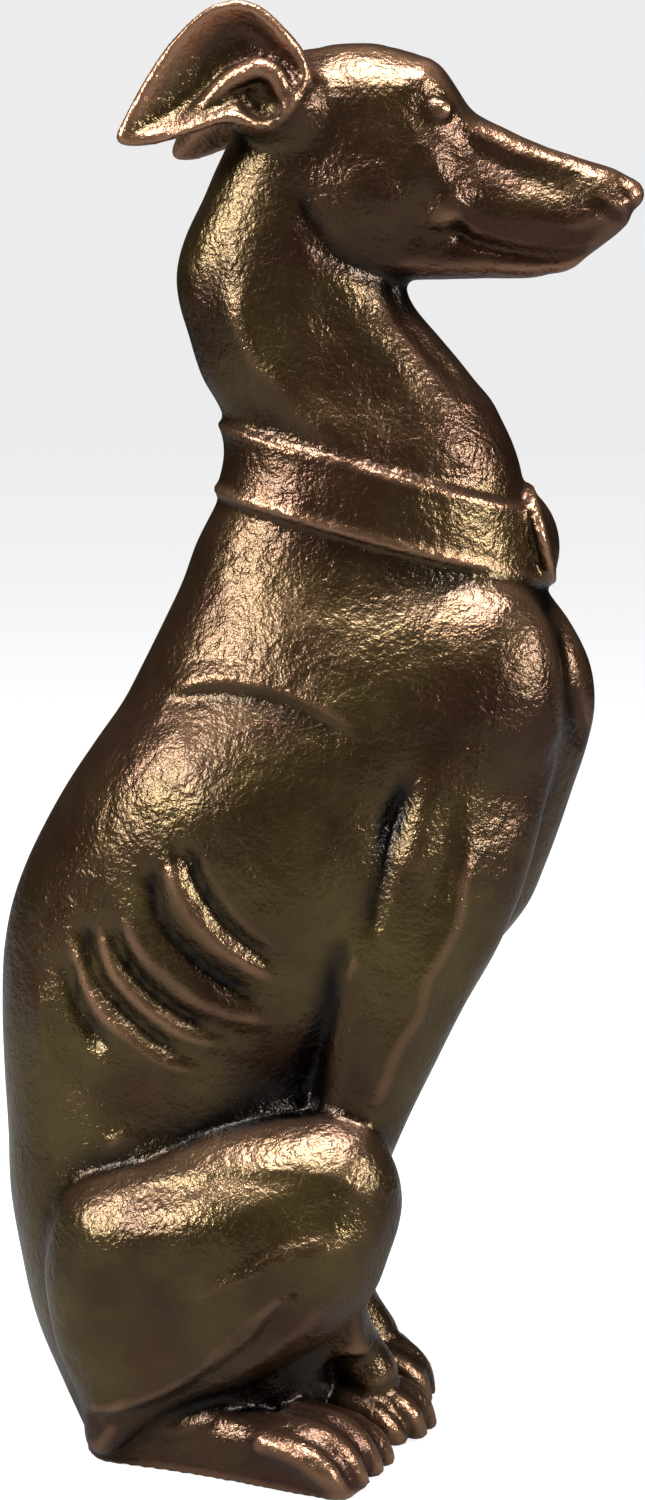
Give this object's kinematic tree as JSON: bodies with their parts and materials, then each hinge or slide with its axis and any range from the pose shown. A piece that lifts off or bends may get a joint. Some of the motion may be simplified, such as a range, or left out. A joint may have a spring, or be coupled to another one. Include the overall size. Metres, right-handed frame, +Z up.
{
  "type": "cast iron dog statue",
  "caption": "Seated greyhound statue in cast iron with a dark bronze patina, a collar and a round medallion; stands on the floor or a shelf.",
  "frame": {"origin": "on the floor under the body, in the plane that parts the dog left from right", "axes": "+Z up, +X the way the dog faces, +Y to its left"},
  "size_m": [0.2171, 0.1623, 0.4887],
  "materials": {
    "patinated_iron": "satin"
  },
  "bodies": {
    "root": {"dog_casting": "patinated_iron"}
  },
  "joints": []
}
